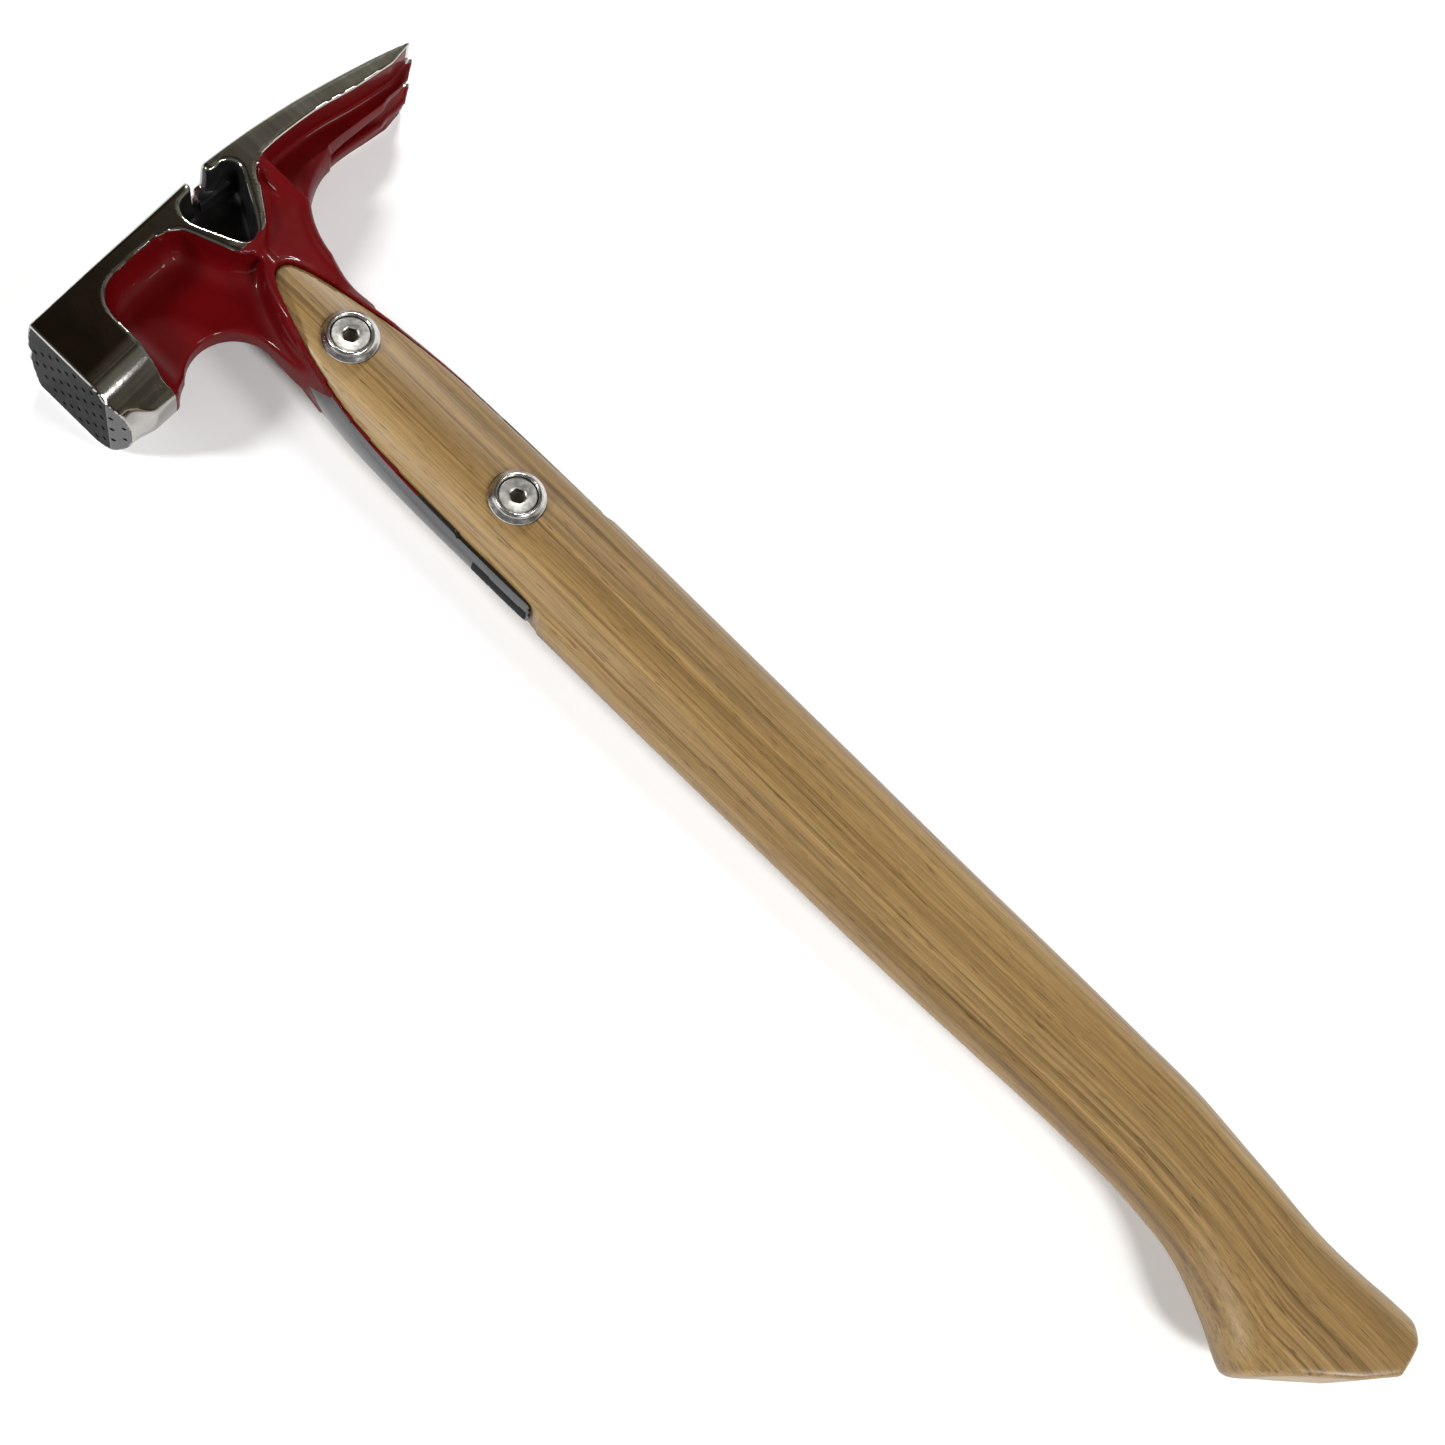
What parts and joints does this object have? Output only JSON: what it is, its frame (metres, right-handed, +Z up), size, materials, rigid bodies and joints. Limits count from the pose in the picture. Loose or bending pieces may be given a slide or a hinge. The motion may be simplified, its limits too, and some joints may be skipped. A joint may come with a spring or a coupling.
{
  "type": "framing hammer",
  "caption": "Framing hammer with a crowned steel head, milled striking face, rip claws with nail slot and side pockets, bolted astride a curved hickory handle.",
  "frame": {"origin": "under the middle of the hammer's box, on the surface it lies on", "axes": "+X runs up the handle to the top of the head, +Y points to the striking face, +Z is up from the side flat the hammer lies on"},
  "size_m": [0.4489, 0.1386, 0.034],
  "materials": {
    "head_steel": "dark red gloss enamel over cast steel, polished on poll, top bar and claws",
    "hickory": "satin clear-coated hickory with straight grain",
    "bolt_steel": "turned bright steel",
    "washer_steel": "bright plated steel",
    "magnet": "dull nickel"
  },
  "bodies": {
    "root": {"head": "head_steel", "handle": "hickory", "upper_bolt": "bolt_steel", "lower_bolt": "bolt_steel", "upper_barrel_nut": "bolt_steel", "lower_barrel_nut": "bolt_steel", "upper_bolt_washer": "washer_steel", "lower_bolt_washer": "washer_steel", "upper_nut_washer": "washer_steel", "lower_nut_washer": "washer_steel", "nail_magnet": "magnet"}
  },
  "joints": []
}
